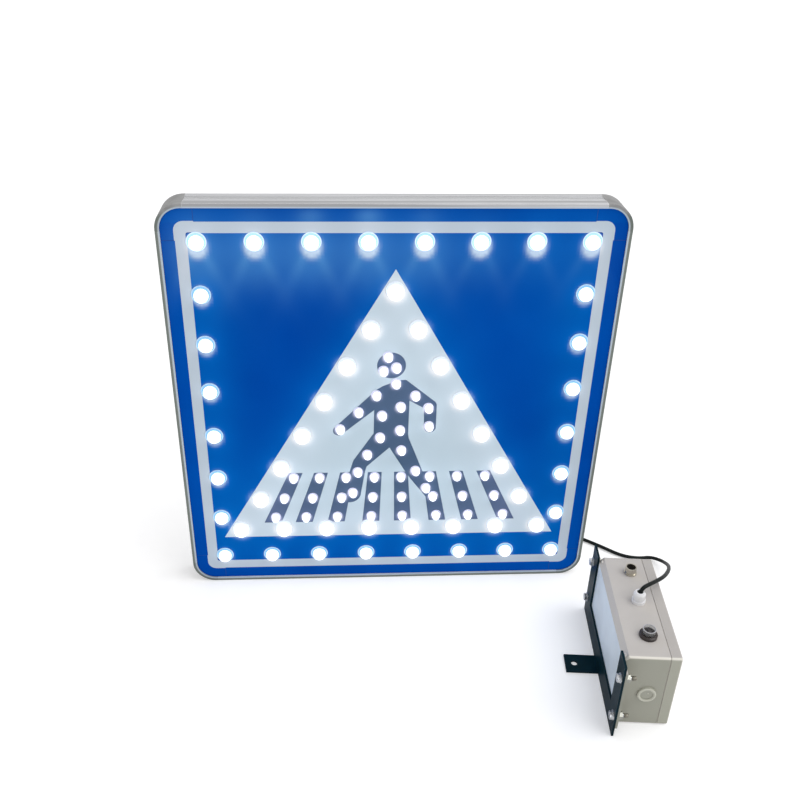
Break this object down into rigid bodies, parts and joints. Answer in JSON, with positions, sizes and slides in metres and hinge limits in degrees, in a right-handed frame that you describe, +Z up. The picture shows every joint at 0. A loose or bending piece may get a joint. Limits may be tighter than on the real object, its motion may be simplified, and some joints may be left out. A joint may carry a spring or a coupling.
{
  "type": "pedestrian crossing sign",
  "caption": "Square lit crossing sign: framed panel with lamps in its face, slotted rails and clamp studs behind, and a bracketed control box on a free cable.",
  "frame": {"origin": "middle of the sign's foot: half-way along the bottom edge, half-way through the frame's depth, on the surface that it stands on", "axes": "+X to the right for someone facing the lit side, +Y from the lit side to the back, +Z up"},
  "size_m": [0.7535, 0.4327, 0.612],
  "materials": {
    "anodised_rail": "satin anodised extrusion",
    "corner_casting": "grey powder coat",
    "face_metal": "mill finish",
    "film_white": "prismatic reflective film",
    "film_blue": "blue reflective film",
    "film_dark": "dark screen-printed film",
    "lens": "clear lens, lit",
    "emitter": "white light emitter",
    "board": "solder mask",
    "spacer_nylon": "natural nylon",
    "zinc_steel": "zinc plated",
    "cover_metal": "grey powder coat",
    "back_rail": "mill finish extrusion",
    "rivet_metal": "bright",
    "ribbon": "grey insulation",
    "module_case": "black case",
    "gland_plastic": "white nylon",
    "seal_rubber": "black rubber",
    "cable_jacket": "black jacket",
    "box_plastic": "warm grey moulding",
    "bracket_paint": "dark green gloss enamel",
    "socket_metal": "nickel plated",
    "socket_core": "black insert",
    "sensor_ring": "dark grey ring",
    "sensor_dome": "clear dome",
    "sensor_eye": "dark sensor",
    "plug_plastic": "warm grey moulding",
    "battery_case": "black case",
    "brass_post": "plain",
    "chip_black": "moulded packages"
  },
  "bodies": {
    "root": {"frame_rail_top": "anodised_rail", "frame_rail_right": "anodised_rail", "frame_rail_bottom": "anodised_rail", "frame_rail_left": "anodised_rail", "frame_corner_top_right": "corner_casting", "frame_corner_bottom_right": "corner_casting", "frame_corner_bottom_left": "corner_casting", "frame_corner_top_left": "corner_casting", "corner_keys": "zinc_steel", "corner_key_screws": "zinc_steel", "face_sheet": "face_metal", "film_white_band": "film_white", "film_blue": "film_blue", "film_white_triangle": "film_white", "film_dark_walker": "film_dark", "film_dark_bars": "film_dark", "lenses_border": "lens", "lenses_triangle": "lens", "lenses_walker": "lens", "lenses_bars": "lens", "led_emitters": "emitter", "board_border": "board", "board_pictogram": "board", "board_spacers": "spacer_nylon", "board_screws": "zinc_steel", "ribbon_leads": "ribbon", "back_cover": "cover_metal", "cover_screws": "zinc_steel", "flasher_unit": "module_case", "terminal_block": "spacer_nylon", "back_rail_upper": "back_rail", "back_rail_lower": "back_rail", "rail_rivets": "rivet_metal", "clamp_studs": "zinc_steel", "clamp_washers": "zinc_steel", "clamp_nuts": "zinc_steel", "gland_bodies": "gland_plastic", "gland_caps": "gland_plastic", "gland_seals": "seal_rubber", "gland_locknuts": "gland_plastic", "cable": "cable_jacket", "box_base": "box_plastic", "box_lid": "box_plastic", "lid_screws": "zinc_steel", "lid_gasket": "seal_rubber", "box_bracket": "bracket_paint", "bracket_bolts": "zinc_steel", "bracket_washers": "zinc_steel", "bracket_nuts": "zinc_steel", "socket_shell": "socket_metal", "socket_insert": "socket_core", "sensor_base": "sensor_ring", "sensor_dome": "sensor_dome", "sensor_core": "sensor_eye", "fitting_nuts": "zinc_steel", "blanking_plug": "plug_plastic", "battery": "battery_case", "controller_board": "board", "controller_posts": "brass_post", "controller_chips": "chip_black"}
  },
  "joints": []
}
